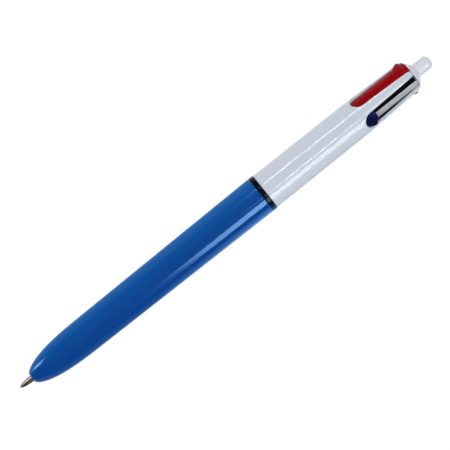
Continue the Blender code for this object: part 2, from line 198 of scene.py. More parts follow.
def moulded(name, colour, roughness, specular=0.5, tint=None, subsurface=0.0, variation=0.06, wear=0.35,
            grain_depth=6e-6):
    """Injection-moulded plastic with flow marks, handling scratches and rubbed edges."""
    material, tree, shader = blank(name)
    flow = grain(tree, 90.0, (0.35, 1.0, 1.0), 2.0)
    speckle = grain(tree, 2600.0, detail=2.0)
    scratch = grain(tree, 1500.0, (0.05, 1.0, 1.0), 4.0, 0.7)
    darker, lighter = shift(colour, 1 - variation), shift(colour, 1 + variation)
    toned = mixed(tree, remap(tree, flow, 0.0, 1.0), darker, lighter)
    rubbed = mixed(tree, remap(tree, speckle, 0.0, 0.25, 0.55, 0.75), toned, shift(colour, 0.9))
    scaled = node(tree, "ShaderNodeMath", operation="MULTIPLY")
    scaled.inputs[1].default_value = wear
    tree.links.new(worn_edges(tree), scaled.inputs[0])
    final = mixed(tree, scaled.outputs[0], rubbed, shift(colour, 1.12, 0.05))
    tree.links.new(final, shader.inputs["Base Color"])
    tree.links.new(remap(tree, scratch, roughness * 0.82, roughness * 1.25), shader.inputs["Roughness"])
    relief = [(speckle, 0.25, grain_depth), (scratch, 0.15, grain_depth), (flow, 0.3, grain_depth * 3)]
    tree.links.new(bumped(tree, relief), shader.inputs["Normal"])
    shader.inputs["Specular IOR Level"].default_value = specular
    shader.inputs["IOR"].default_value = PLASTIC_IOR
    if tint:
        shader.inputs["Specular Tint"].default_value = (*tint, 1.0)
    if subsurface:
        shader.inputs["Subsurface Weight"].default_value = subsurface
        shader.inputs["Subsurface Radius"].default_value = (1.0, 0.9, 0.8)
        shader.inputs["Subsurface Scale"].default_value = 0.0008
    return material


def turned_metal(name, colour, roughness, lathe_marks=9000.0, tarnish=0.12):
    """Machined metal: fine rings round the axis, a little tarnish and brighter edges."""
    material, tree, shader = blank(name)
    rings = grain(tree, lathe_marks, (1.0, 0.02, 0.02), 2.0)
    stain = grain(tree, 700.0, detail=4.0)
    darker, lighter = shift(colour, 1 - tarnish), shift(colour, 1 + tarnish / 2)
    toned = mixed(tree, remap(tree, stain, 0.0, 1.0), darker, lighter)
    final = mixed(tree, worn_edges(tree), toned, shift(colour, 1.15, 0.03))
    tree.links.new(final, shader.inputs["Base Color"])
    tree.links.new(remap(tree, stain, roughness * 0.8, roughness * 1.4), shader.inputs["Roughness"])
    tree.links.new(bumped(tree, [(rings, 0.35, 3e-6)]), shader.inputs["Normal"])
    shader.inputs["Metallic"].default_value = 1.0
    return material


BLUE = (0.004, 0.072, 0.360)
WHITE = (0.765, 0.835, 0.945)
BLUE_TINT = (0.30, 0.65, 1.0)
INKS = {
    "blue": (0.005, 0.007, 0.060),
    "red": (0.38, 0.004, 0.007),
    "black": (0.008, 0.009, 0.011),
    "green": (0.004, 0.17, 0.05),
}
SLIDE_TINTS = {
    "blue": (0.15, 0.15, 0.6),
    "red": (1.0, 0.12, 0.12),
    "black": (0.8, 0.85, 1.0),
    "green": (0.15, 0.9, 0.35),
}

BARREL_BLUE = moulded("barrel_blue_gloss", BLUE, 0.12, tint=BLUE_TINT, variation=0.05, wear=0.3)
RING_BLACK = moulded("ring_black_gloss", (0.004, 0.007, 0.016), 0.16, specular=0.12,
                     tint=(0.35, 0.65, 1.0), wear=0.3)
BARREL_WHITE = moulded("barrel_white_gloss", WHITE, 0.09, specular=0.2, grain_depth=3e-6,
                       subsurface=0.15, variation=0.012, wear=0.2)
KNOB_WHITE = moulded("knob_white_satin", (0.83, 0.87, 0.95), 0.3, specular=0.15, subsurface=0.15,
                     variation=0.02, wear=0.2)
# Near-black painted shade for the column's grooves, deep in an empty slot where shade falls.
GROOVE_PAINTED_SHADE = moulded("core_groove_painted_shade", (0.006, 0.008, 0.011), 0.6, specular=0.1, wear=0.0)
CORE_GREY = moulded("core_grey_satin", (0.46, 0.47, 0.49), 0.42, wear=0.3, grain_depth=2e-5)
GUIDE_WHITE = moulded("guide_white_matte", (0.6, 0.6, 0.62), 0.5, variation=0.05, wear=0.3,
                      grain_depth=2e-5)
SLIDES = {
    colour: moulded("slide_" + colour + "_plastic", ink, 0.24, specular=0.1, tint=SLIDE_TINTS[colour],
                    variation=0.05, wear=0.15)
    for colour, ink in INKS.items()
}
TUBES = {
    colour: moulded("tube_" + colour + "_plastic", shift(ink, 1.1), 0.18, subsurface=0.1,
                    variation=0.15, wear=0.1)
    for colour, ink in INKS.items()
}
STEEL = turned_metal("spring_steel_wire", (0.56, 0.56, 0.57), 0.25, 3000.0)
BRASS = turned_metal("holder_brass_turned", (0.74, 0.53, 0.25), 0.24)
NICKEL = turned_metal("tip_nickel_turned", (0.44, 0.39, 0.36), 0.2)
BALL = turned_metal("ball_ground", (0.35, 0.34, 0.34), 0.15, 1500.0, 0.05)


# ---------------- mesh helpers

def finished(name, bm):
    """A bmesh turned into a mesh."""
    mesh = bpy.data.meshes.new(name)
    bm.to_mesh(mesh)
    bm.free()
    return mesh


def linked(name, data):
    """A new object in the scene."""
    made = bpy.data.objects.new(name, data)
    bpy.context.scene.collection.objects.link(made)
    return made


def stitch(bm, rows, closed=True):
    """Faces between rows of vertices, each row a ring when closed."""
    for low, high in zip(rows, rows[1:]):
        for index in range(len(low) if closed else len(low) - 1):
            after = (index + 1) % len(low)
            bm.faces.new((low[index], low[after], high[after], high[index]))


def place(name, bm, material, body, stands_for, around=None, shade_material=None):
    """Finish a mesh in drawing millimetres as a piece of the pen.

    The last argument is a second material, used for painted shade, and a test of a face's middle for where
    it shows.
    """
    bmesh.ops.remove_doubles(bm, verts=bm.verts, dist=1e-5)
    bmesh.ops.dissolve_degenerate(bm, edges=bm.edges, dist=1e-6)
    bmesh.ops.recalc_face_normals(bm, faces=bm.faces)
    mesh = finished(name, bm)
    marked = [bool(shade_material and shade_material[1](face.center)) for face in mesh.polygons]
    if around:
        mesh.transform(around)
    mesh.transform(Matrix.Translation(ORIGIN) @ Matrix.Scale(MM, 4))
    mesh.materials.append(material)
    if shade_material:
        mesh.materials.append(shade_material[0])
        for face, shows in zip(mesh.polygons, marked):
            face.material_index = int(shows)
    mesh.shade_smooth()
    mesh.set_sharp_from_angle(angle=SHARP)
    piece = linked(name, mesh)
    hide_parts(stands_for)
    if body:
        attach(piece, body)
    return piece


def softened(corners, steps=5):
    """Profile points from (x, radius, rounding) corners, with each corner rounded off."""
    points = []
    count = len(corners)
    for index, (x, radius, rounding) in enumerate(corners):
        here = Vector((x, radius))
        if not rounding:
            points.append(here)
            continue
        before = Vector(corners[index - 1][:2]) - here
        after = Vector(corners[(index + 1) % count][:2]) - here
        first = here + before.normalized() * min(rounding, before.length * 0.5)
        last = here + after.normalized() * min(rounding, after.length * 0.5)
        for share in spread(0.0, 1.0, steps):
            points.append(first.lerp(here, share).lerp(here.lerp(last, share), share))
    return [tuple(point) for point in points]


def refined(profile, longest):
    """The same profile with its long straight runs divided."""
    points = []
    for (x, radius), (next_x, next_radius) in zip(profile, profile[1:]):
        points.append((x, radius))
        count = int(math.hypot(next_x - x, next_radius - radius) / longest)
        for step in range(1, count + 1):
            share = step / (count + 1)
            points.append((x + (next_x - x) * share, radius + (next_radius - radius) * share))
    return points + [profile[-1]]


def lathe(profile, segments=ROUND, centre=0.0, shape=None):
    """Turn a profile about a line along X, centre above the X axis.

    shape(x, radius, angle) is how far a point moves out.
    """
    bm = bmesh.new()
    rings = []
    for x, radius in profile:
        if radius < 1e-6:
            rings.append([bm.verts.new((x, 0.0, centre))])
            continue
        ring = []
        for step in range(segments):
            angle = 2 * math.pi * step / segments
            reach = radius + (shape(x, radius, angle) if shape else 0.0)
            ring.append(bm.verts.new((x, reach * math.sin(angle), centre + reach * math.cos(angle))))
        rings.append(ring)
    pairs = list(zip(rings, rings[1:]))
    if len(rings[0]) > 1:
        pairs.append((rings[-1], rings[0]))
    for first, second in pairs:
        for step in range(segments):
            after = (step + 1) % segments
            corners = [first[step % len(first)], first[after % len(first)]]
            corners += [second[after % len(second)], second[step % len(second)]]
            bm.faces.new(list(dict.fromkeys(corners)))
    return bm


def pillow(outline, spine, bottom, height, rounding, steps=7):
    """A closed pad: straight sides, a rounded rim and a crowned top.

    outline is the plan as (x, y, inward x, inward y); spine gives the ends of the middle
    line that the top's rows run to; height(x, y) is the top surface.
    """
    bm = bmesh.new()
    layers = [[(x, y, bottom) for x, y, _, _ in outline]]
    for share in (0.0, 0.25, 0.5, 0.75, 1.0):
        turn = share * math.pi / 2
        inward = rounding * (1 - math.cos(turn))
        drop = rounding * (1 - math.sin(turn))
        layer = []
        for x, y, in_x, in_y in outline:
            px, py = x + in_x * inward, y + in_y * inward
            layer.append((px, py, height(px, py) - drop))
        layers.append(layer)
    rim = layers[-1]
    for step in range(1, steps + 1):
        share = step / steps
        layer = []
        for px, py, _ in rim:
            middle = min(spine[1], max(spine[0], px))
            qx = px + (middle - px) * share
            qy = py * (1 - share)
            layer.append((qx, qy, height(qx, qy)))
        layers.append(layer)
    made = [[bm.verts.new(point) for point in layer] for layer in layers]
    bm.faces.new(made[0])
    stitch(bm, made)
    return bm


PAD_SPACING = 0.45


def tablet(front, end, half, corner, nose=None):
    """Plan of a pad from front to end: a round nose or corners of a given radius."""
    outline = []
    corners = [(end - corner, half - corner, 90.0, 0.0, corner),
               (end - corner, corner - half, 0.0, -90.0, corner)]
    if nose:
        corners.append((front + nose, 0.0, -90.0, -270.0, nose))
    else:
        corners.append((front + corner, corner - half, -90.0, -180.0, corner))
        corners.append((front + corner, half - corner, -180.0, -270.0, corner))
    for x, y, first, last, radius in corners:
        steps = 25 if radius > 1.0 else 9
        for angle in spread(first, last, steps):
            out = (math.cos(math.radians(angle)), math.sin(math.radians(angle)))
            outline.append((x + radius * out[0], y + radius * out[1], -out[0], -out[1]))
    filled = []
    for here, after in zip(outline, outline[1:] + outline[:1]):
        filled.append(here)
        extra = int(math.hypot(after[0] - here[0], after[1] - here[1]) / PAD_SPACING)
        for step in range(1, extra + 1):
            share = step / (extra + 1)
            filled.append(tuple(a + (b - a) * share for a, b in zip(here, after)))
    return filled


def box_mesh(x, y, z, rounding):
    """A box between two values on each axis, with rounded edges."""
    bm = bmesh.new()
    middle = [(a + b) / 2 for a, b in (x, y, z)]
    size = [b - a for a, b in (x, y, z)]
    bmesh.ops.create_cube(bm, size=1.0, matrix=Matrix.Translation(middle) @ Matrix.Diagonal((*size, 1.0)))
    if rounding:
        bmesh.ops.bevel(bm, geom=bm.edges[:], offset=rounding, segments=3, profile=0.5, affect="EDGES")
    return bm


def merged(base, others, operation="UNION"):
    """Unite or cut one bmesh with others, and give back one bmesh."""
    objects = []
    for bm in [base, *others]:
        bmesh.ops.remove_doubles(bm, verts=bm.verts, dist=1e-5)
        bmesh.ops.recalc_face_normals(bm, faces=bm.faces)
        objects.append(linked("working", finished("working", bm)))
    for other in objects[1:]:
        step = objects[0].modifiers.new("join", "BOOLEAN")
        step.operation = operation
        step.solver = "EXACT"
        step.object = other
    bpy.context.view_layer.update()
    depsgraph = bpy.context.evaluated_depsgraph_get()
    result = bmesh.new()
    result.from_mesh(objects[0].evaluated_get(depsgraph).to_mesh())
    for made in objects:
        bpy.data.objects.remove(made)
    return result


# ---------------- lower barrel and ring

LOWER_START, LOWER_END = span("lower_barrel")
LOWER_RADIUS = 5.84
LOWER_TAPER = 0.0088
NOSE_TIP = 3.8
NOSE_LENGTH = 21.2
NOSE_POWER = 2.7
NOSE_ROUNDNESS = 2.25
NOSE_BORE = 1.3
THREAD_BORE = 5.03
THREAD_BORE_START = 78.5
LOWER_WALL = 0.9
NOSE_END = NOSE_TIP + NOSE_LENGTH

# The screw thread between the barrels: cut into the lower one's bore and raised on the
# upper one's neck. Each half fades out at its ends.
THREAD_PITCH = 1.5
THREAD_PHASE = 80.4
FEMALE_START, FEMALE_END, FEMALE_FADE, FEMALE_DEPTH = 79.4, 86.6, 1.0, 0.2
MALE_START, MALE_END, MALE_FADE, MALE_HEIGHT = 79.8, 87.0, 0.8, 0.25

# A profile's longest steps on the thread and elsewhere, and how near to its radius that is.
THREAD_STEP, BORE_STEP = 0.12, 50.0
ON_RADIUS = 0.02


def thread_turn(x, angle):
    """How far round the screw thread a point is, as a share of a turn."""
    return ((x - THREAD_PHASE) / THREAD_PITCH + angle / (2 * math.pi) + 0.5) % 1.0


def nose_radius(x):
    """Outer radius of the lower barrel: a slight taper that ends in a bullet nose."""
    tapered = LOWER_RADIUS - LOWER_TAPER * (LOWER_END - x)
    inward = max(0.0, (NOSE_END - x) / NOSE_LENGTH)
    return tapered * (1 - inward ** NOSE_POWER) ** (1 / NOSE_ROUNDNESS)


def thread_groove(x, radius, angle):
    """Depth of the thread cut into the lower barrel's bore."""
    if abs(radius - THREAD_BORE) > ON_RADIUS or not FEMALE_START < x < FEMALE_END:
        return 0.0
    depth = FEMALE_DEPTH * ease(1 - abs(thread_turn(x, angle) - 0.5) * 5.0)
    return depth * ease((x - FEMALE_START) / FEMALE_FADE) * ease((FEMALE_END - x) / FEMALE_FADE)


def lower_barrel():
    """The blue half: a long tube with a bullet nose, its tip hole and a threaded bore."""
    stations = [LOWER_START + (NOSE_END - LOWER_START) * share ** 2 for share in spread(0.12, 1.0, 36)]
    outer = [(x, nose_radius(x)) for x in stations]
    lip = nose_radius(LOWER_START)
    mouth = softened([(LOWER_START + 0.35, NOSE_BORE, 0.0), (LOWER_START, NOSE_BORE + 0.05, 0.12),
                      (LOWER_START, lip, 0.12), (stations[0], nose_radius(stations[0]), 0.0)])[:-1]
    wall = refined([outer[-1], (LOWER_END - 0.4, nose_radius(LOWER_END - 0.4))], 1.8)[1:]
    rim = softened([(LOWER_END - 0.3, nose_radius(LOWER_END - 0.3), 0.0), (LOWER_END, LOWER_RADIUS, 0.16),
                    (LOWER_END, THREAD_BORE, 0.12), (LOWER_END - 0.4, THREAD_BORE, 0.0)])
    inner = nose_radius(THREAD_BORE_START) - LOWER_WALL
    step = softened([(LOWER_END - 0.5, THREAD_BORE, 0.0), (THREAD_BORE_START, THREAD_BORE, 0.1),
                     (THREAD_BORE_START, inner, 0.1), (THREAD_BORE_START - 1.0, inner, 0.0)])
    bore = [(x, max(NOSE_BORE, nose_radius(x) - LOWER_WALL)) for x in stations[::-1]]
    bore = [point for point in bore if point[0] > LOWER_START + 0.4]
    profile = mouth + outer + wall + rim + step + bore
    fine = []
    for first, last in zip(profile, profile[1:]):
        in_bore = abs(first[1] - THREAD_BORE) < ON_RADIUS and abs(last[1] - THREAD_BORE) < ON_RADIUS
        fine += refined([first, last], THREAD_STEP if in_bore else BORE_STEP)[:-1]
    fine.append(profile[-1])
    shell = lathe(fine, shape=thread_groove)
    place("lower_barrel_shell", shell, BARREL_BLUE, "lower_body", "lower_barrel")


def joint_ring():
    """The black band between the barrels."""
    start, end = span("joint_ring")
    profile = softened([(start, THREAD_BORE, 0.08), (start, LOWER_RADIUS, 0.14),
                        (end, LOWER_RADIUS, 0.14), (end, THREAD_BORE, 0.08)])
    place("joint_ring_band", lathe(profile), RING_BLACK, "ring_body", "joint_ring")


# ---------------- upper barrel

NECK_START, UPPER_TOP = span("upper_barrel")
UPPER_START = 89.6
UPPER_RADIUS = 5.72
SLOT_RADIUS = 5.6
TAPER_START = 123.8
TAPER_END = 142.0
TOP_RADIUS = 4.83
RIM_RADIUS = 4.1
UPPER_BORE = 4.75
TOP_BORE = 3.8
NECK_RADIUS = 4.7
NECK_BORE = 4.15
SHOULDER = 91.0
SLOT_START = 123.84
SLOT_HALF = 2.58
SLOT_ROUNDING = 0.16
SLOT_TOP = 141.8
RIM_PULL = (142.95, 4.72)
NECK_END = 88.0
WALL_SHARE = 0.4
NOTCH_START, NOTCH_ACROSS, NOTCH_DEPTH = 140.25, (-0.45, 0.45), (-6.0, -3.0)


def wall_radius(x):
    """Outer radius of the upper barrel, with the change of taper eased."""
    total = 0.0
    for offset in (-1.5, -0.5, 0.5, 1.5):
        at = x + offset
        if at < TAPER_START:
            rise = UPPER_RADIUS - SLOT_RADIUS
            total += SLOT_RADIUS + rise * (TAPER_START - at) / (TAPER_START - UPPER_START)
        else:
            drop = SLOT_RADIUS - TOP_RADIUS
            total += SLOT_RADIUS - drop * (at - TAPER_START) / (TAPER_END - TAPER_START)
    return total / 4


def bore_radius(x):
    """Inner radius of the upper barrel."""
    if x < TAPER_START:
        return UPPER_BORE
    drop = (UPPER_BORE - TOP_BORE) * (x - TAPER_START) / (TAPER_END - TAPER_START)
    return max(TOP_BORE, UPPER_BORE - drop)


def neck_thread(x, radius, angle):
    """Height of the raised thread on the neck."""
    if abs(radius - NECK_RADIUS) > ON_RADIUS or not MALE_START < x < MALE_END:
        return 0.0
    height = MALE_HEIGHT * ease(1.35 - abs(thread_turn(x, angle) - 0.5) * 5.4)
    return height * ease((x - MALE_START) / MALE_FADE) * ease((MALE_END - x) / MALE_FADE)


def slot_rows():
    """Rows up the slotted part, from the slots' round ends to the rim.

    Each is the outer x and radius, the slot's outline (x, y), the outline's outward
    direction, the rounding of the slot's edge and the bore's x.
    """
    rows = []
    middle = SLOT_START + SLOT_HALF
    for angle in spread(0.0, 90.0, 21):
        turn = math.radians(angle)
        out = (-math.cos(turn), math.sin(turn))
        rows.append(((middle + SLOT_HALF * out[0], SLOT_HALF * out[1]), out))
    for x in spread(middle + 0.5, SLOT_TOP, 24):
        rows.append(((x, SLOT_HALF), (0.0, 1.0)))
    made = []
    for (x, y), out in rows:
        at = x + out[0] * SLOT_ROUNDING
        made.append((at, wall_radius(at), (x, y), out, SLOT_ROUNDING, x))
    start, pull, end = (SLOT_TOP, wall_radius(SLOT_TOP)), RIM_PULL, (UPPER_TOP, RIM_RADIUS)
    for share in spread(0.0, 1.0, 10)[1:]:
        weights = ((1 - share) ** 2, 2 * share * (1 - share), share ** 2)
        x, radius = (weights[0] * a + weights[1] * b + weights[2] * c for a, b, c in zip(start, pull, end))
        rounding = SLOT_ROUNDING * ease((1 - share) * 1.4)
        made.append((x, radius, (x, SLOT_HALF), (0.0, 1.0), rounding, min(x, UPPER_TOP - 0.02)))
    made.append((UPPER_TOP, TOP_BORE, (UPPER_TOP, SLOT_HALF), (0.0, 1.0), 0.0, UPPER_TOP))
    return made


def upper_barrel():
    """The white half as one closed mesh whose rows follow the slots."""
    quarter = ROUND // 4
    bm = bmesh.new()

    def point(x, radius, degrees):
        angle = math.radians(degrees)
        return bm.verts.new((x, radius * math.sin(angle), radius * math.cos(angle)))

    def ring(x, radius):
        return [point(x, radius + neck_thread(x, radius, 2 * math.pi * step / ROUND + math.pi / 4),
                      45.0 + 360.0 * step / ROUND) for step in range(ROUND)]

    neck = softened([(NECK_START, NECK_BORE, 0.1), (NECK_START, NECK_RADIUS, 0.25)])
    neck += refined([(NECK_START + 0.3, NECK_RADIUS), (MALE_END + 0.2, NECK_RADIUS)], 0.11)
    step = softened([(NECK_END, NECK_RADIUS, 0.0), (UPPER_START, NECK_RADIUS, 0.08),
                     (UPPER_START, UPPER_RADIUS, 0.16),
                     (UPPER_START + 0.5, wall_radius(UPPER_START + 0.5), 0.0)])
    tube = [(x, wall_radius(x)) for x in spread(UPPER_START + 0.9, SLOT_START - 1.0, 24)]
    outside = [ring(*at) for at in neck + step + tube]
    back = softened([(SLOT_START - 0.6, UPPER_BORE, 0.0), (SHOULDER, UPPER_BORE, 0.1),
                     (SHOULDER, NECK_BORE, 0.1), (NECK_START + 1.0, NECK_BORE, 0.0)])
    inside = [ring(*at) for at in back]

    rows = slot_rows()
    depths = [math.radians(angle) for angle in (22.5, 45.0, 67.5, 90.0)]
    outer, inner, sides = [], [], []
    for x, radius, (px, py), out, rounding, bore_x in rows:
        hidden = bore_radius(bore_x)
        outer_edge = math.degrees(math.asin(min(1.0, (py + out[1] * rounding) / radius)))
        inner_edge = math.degrees(math.asin(py / hidden))
        outer_row, inner_row, side_row = [], [], []
        for quadrant in range(4):
            base = 45.0 + 90.0 * quadrant
            for line, at, reach, edge in ((outer_row, x, radius, outer_edge),
                                          (inner_row, bore_x, hidden, inner_edge)):
                line.append([point(at, reach, base + edge + (90 - 2 * edge) * step / quarter)
                             for step in range(quarter + 1)])
            pair = []
            for sign, centre in ((1.0, base), (-1.0, base + 90.0)):
                line = []
                for turn in depths:
                    reach = rounding * (1 - math.sin(turn))
                    deep = rounding * (1 - math.cos(turn))
                    across = py + out[1] * reach
                    at = px + out[0] * reach
                    level = radius - deep if x > SLOT_TOP else wall_radius(at) - deep
                    line.append((at, across, math.sqrt(max(0.0, level ** 2 - across ** 2))))
                top = line[-1]
                foot = math.sqrt(hidden ** 2 - py ** 2)
                shift_x, shift_z = (bore_x - top[0]) * WALL_SHARE, (foot - top[2]) * WALL_SHARE
                line.append((top[0] + shift_x, py, top[2] + shift_z))
                turned = Matrix.Rotation(-math.radians(centre), 3, "X")
                pair.append([bm.verts.new(turned @ Vector((a, sign * b, c))) for a, b, c in line])
            side_row.append(pair)
        outer.append(outer_row)
        inner.append(inner_row)
        sides.append(side_row)

    def quad(*corners):
        corners = list(dict.fromkeys(corners))
        places = {tuple(round(value, 5) for value in corner.co) for corner in corners}
        if len(places) > 2:
            bm.faces.new(corners)

    for rings in (outside, inside):
        for first, second in zip(rings, rings[1:]):
            for step in range(ROUND):
                after = (step + 1) % ROUND
                quad(first[step], first[after], second[after], second[step])
    for step in range(ROUND):
        after = (step + 1) % ROUND
        quad(inside[-1][step], inside[-1][after], outside[0][after], outside[0][step])
        near, far = step // quarter, step % quarter
        quad(outside[-1][step], outside[-1][after], outer[0][near][far + 1], outer[0][near][far])
        quad(inside[0][step], inside[0][after], inner[0][near][far + 1], inner[0][near][far])
    for level in range(len(rows) - 1):
        for quadrant in range(4):
            for sheet in (outer, inner):
                low, high = sheet[level][quadrant], sheet[level + 1][quadrant]
                for step in range(quarter):
                    quad(low[step], low[step + 1], high[step + 1], high[step])
            for side, column in ((0, 0), (1, quarter)):
                low, high = ([outer[row][quadrant][column], *sides[row][quadrant][side],
                              inner[row][quadrant][column]] for row in (level, level + 1))
                for index in range(len(low) - 1):
                    quad(low[index], low[index + 1], high[index + 1], high[index])
    notch = box_mesh((NOTCH_START, UPPER_TOP + 1.0), NOTCH_ACROSS, NOTCH_DEPTH, 0.0)
    bm = merged(bm, [notch], "DIFFERENCE")
    place("upper_barrel_shell", bm, BARREL_WHITE, "upper_body", "upper_barrel")


# ---------------- knob, core, guide and clip

CAP_BORE = 1.27
CAP_BORE_END = 147.5
KNOB_RADIUS = 2.06
KNOB_DOME = 1.55


def top_cap():
    """The white end: a flared skirt that narrows to a round knob, with a blind socket inside."""
    start, end = span("top_cap")
    shoulder = softened([(start, CAP_BORE, 0.0), (start, 4.05, 0.12), (143.45, 3.92, 0.1),
                         (143.75, 3.6, 0.15), (144.05, 3.15, 0.15), (144.35, 2.7, 0.15),
                         (144.65, 2.36, 0.15), (145.0, 2.1, 0.15), (145.2, 2.0, 0.05),
                         (145.26, 2.0, 0.04), (145.34, KNOB_RADIUS, 0.06)], 4)[1:]
    knob = []
    for angle in spread(0.0, 90.0, 22):
        reach = math.radians(angle)
        knob.append((end - KNOB_DOME * (1 - math.sin(reach)), KNOB_RADIUS * math.cos(reach)))
    knob[-1] = (end, 0.0)
    socket = [(CAP_BORE_END, 0.0), (CAP_BORE_END, CAP_BORE), (start + 0.1, CAP_BORE)]
    profile = refined(socket + shoulder + knob, 1.5)
    place("top_cap_knob", lathe(profile, ROUND_MIDDLE), KNOB_WHITE, "upper_body", "top_cap")


CORE_FACE = 3.26
CORE_RADIUS = 3.68
GROOVE_FLOOR = 1.66
PAD_REACH = 2.5
CORE_START, CORE_TOP = 124.5, 143.1
ROD_START, ROD_END, ROD_RADIUS = 105.0, 125.0, 1.1
SPIGOT_START, SPIGOT_RADIUS = 142.5, 1.15


def core_section():
    """The column's section: four flat pads, each beside the groove that a slide's leg runs in."""
    edge = math.sqrt(CORE_RADIUS ** 2 - CORE_FACE ** 2)
    first = math.atan2(edge, CORE_FACE)
    last = math.acos(PAD_REACH / CORE_RADIUS)
    corners = [(0.0, GROOVE_FLOOR, 0.12), (0.0, CORE_FACE, 0.14), (-edge, CORE_FACE, 0.1)]
    for turn in spread(first, last, 7)[1:-1]:
        corners.append((-CORE_RADIUS * math.sin(turn), CORE_RADIUS * math.cos(turn), 0.0))
    corners.append((-math.sqrt(CORE_RADIUS ** 2 - PAD_REACH ** 2), PAD_REACH, 0.1))
    corners.append((-GROOVE_FLOOR, PAD_REACH, 0.12))
    outline = []
    for quadrant in range(4):
        turned = Matrix.Rotation(math.radians(90.0 * quadrant), 2)
        for across, out, rounding in corners:
            across, out = turned @ Vector((across, out))
            outline.append((across, out, rounding))
    return softened(outline, 4)


def in_groove(middle):
    """True on the floors and sides of the column's grooves, which get near-black painted shade."""
    across, out = (middle.y + middle.z) / math.sqrt(2), (middle.z - middle.y) / math.sqrt(2)
    under_faces = max(abs(across), abs(out)) < CORE_FACE - 0.1
    under_corners = math.hypot(across, out) < CORE_RADIUS - 0.06
    return CORE_START + 0.1 < middle.x < CORE_TOP - 0.08 and under_faces and under_corners


def guide_core():
    """The grey column that shows in an empty slot, with near-black painted shade in its grooves, its rod
    and its spigot.
    """
    _, end = span("guide_core")
    section = core_section()
    bm = bmesh.new()
    layers = []
    for x, inset in ((CORE_START, 0.15), (124.56, 0.05), (124.65, 0.0),
                     (143.0, 0.0), (143.06, 0.04), (CORE_TOP, 0.1)):
        scale = 1 - inset / CORE_FACE
        layers.append([bm.verts.new((x, y * scale, z * scale)) for y, z in section])
    bm.faces.new(layers[0])
    bm.faces.new(layers[-1])
    stitch(bm, layers)
    bmesh.ops.transform(bm, matrix=Matrix.Rotation(math.radians(45.0), 4, "X"), verts=bm.verts)
    rod = lathe(softened([(ROD_START, 0.0, 0.0), (ROD_START, ROD_RADIUS, 0.25),
                          (ROD_END, ROD_RADIUS, 0.0), (ROD_END, 0.0, 0.0)]), ROUND_SMALL)
    spigot = lathe(softened([(SPIGOT_START, 0.0, 0.0), (SPIGOT_START, SPIGOT_RADIUS, 0.0),
                             (end, SPIGOT_RADIUS, 0.25), (end, 0.0, 0.0)]), ROUND_SMALL)
    bm = merged(bm, [rod, spigot])
    # The column's grooves get the near-black painted shade.
    place("guide_core_column", bm, CORE_GREY, "upper_body", "guide_core",
          shade_material=(GROOVE_PAINTED_SHADE, in_groove))


GUIDE_RADIUS = 4.65
HOLE_RADIUS = 1.55
HOLE_OFFSET = 2.72


def spring_guide():
    """A disc inside the upper barrel with a hole for each refill."""
    start, end = span("spring_guide")
    disc = lathe(softened([(start, 0.0, 0.0), (start, GUIDE_RADIUS, 0.2),
                           (end, GUIDE_RADIUS, 0.2), (end, 0.0, 0.0)]), ROUND_MIDDLE)
    holes = []
    for angle in COLOURS.values():
        hole = lathe([(start - 1.0, 0.0), (start - 1.0, HOLE_RADIUS), (end + 1.0, HOLE_RADIUS),
                      (end + 1.0, 0.0)], ROUND_SMALL, centre=HOLE_OFFSET)
        bmesh.ops.transform(hole, matrix=Matrix.Rotation(math.radians(angle), 4, "X"), verts=hole.verts)
        holes.append(hole)
    bm = merged(disc, holes, "DIFFERENCE")
    place("spring_guide_disc", bm, GUIDE_WHITE, "upper_body", "spring_guide")


CLIP_THICKNESS = 1.2
NUB_GAP = 0.12
NUB_LENGTH = 4.6
ROOT_START, ROOT_HALF, ROOT_HEIGHT = 138.6, 1.0, 4.1
SEAT_START, SEAT_END, SEAT_RADIUS, SEAT_GAP = 120.0, 145.0, 4.78, 0.06
TANG_START, TANG_HALF, TANG_INNER = 140.4, 0.35, -4.1


def pocket_clip():
    """The clip under the pen: a crowned bar with a round free end, its nub and its root."""
    low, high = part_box("pocket_clip")
    start, end = span("pocket_clip")
    outer = -AXIS_HEIGHT
    half = (high.y - low.y) / 2 / MM
    inner = outer + CLIP_THICKNESS
    nub = -UPPER_RADIUS - NUB_GAP

    def facing(x, y):
        """The clip's inner face, with the nub near its free end."""
        bulge = ease((x - start - 0.3) / 1.0) * ease((start + NUB_LENGTH - x) / 2.2)
        return inner + (nub - inner) * bulge * (1 - 0.12 * (y / half) ** 2)

    def outer_face(x, y):
        """The clip's outer face, mirrored: the pen rests on it."""
        lift = 0.45 * (1 - ease((x - start) / 1.6)) + 0.35 * (1 - ease((end - x) / 1.0))
        return -(outer + lift * 0.8) - 0.05 * (y / half) ** 2

    plan = tablet(start, end, half, 0.7, nose=half)
    spine = (start + half, end - half)
    split = -(outer + CLIP_THICKNESS / 2)
    back = pillow(plan, spine, split - 0.05, outer_face, 0.28)
    bmesh.ops.transform(back, matrix=Matrix.Diagonal((1.0, 1.0, -1.0, 1.0)), verts=back.verts)
    front = pillow(plan, spine, -split - 0.1, facing, 0.22)
    root = box_mesh((ROOT_START, end - 0.05), (-ROOT_HALF, ROOT_HALF),
                    (outer + CLIP_THICKNESS / 2, outer + ROOT_HEIGHT), 0.12)
    seat = [(x, wall_radius(x) + SEAT_GAP) for x in spread(SEAT_START, SLOT_TOP, 12)]
    seat = [(SEAT_START, 0.0), *seat, (SEAT_END, SEAT_RADIUS), (SEAT_END, 0.0)]
    root = merged(root, [lathe(seat, ROUND_MIDDLE)], "DIFFERENCE")
    tang = box_mesh((TANG_START, end), (-TANG_HALF, TANG_HALF), (outer + 0.7, TANG_INNER), 0.06)
    bm = merged(back, [front, root, tang])
    place("pocket_clip_bar", bm, BARREL_WHITE, "upper_body", "pocket_clip")


# ---------------- slides, springs and refills

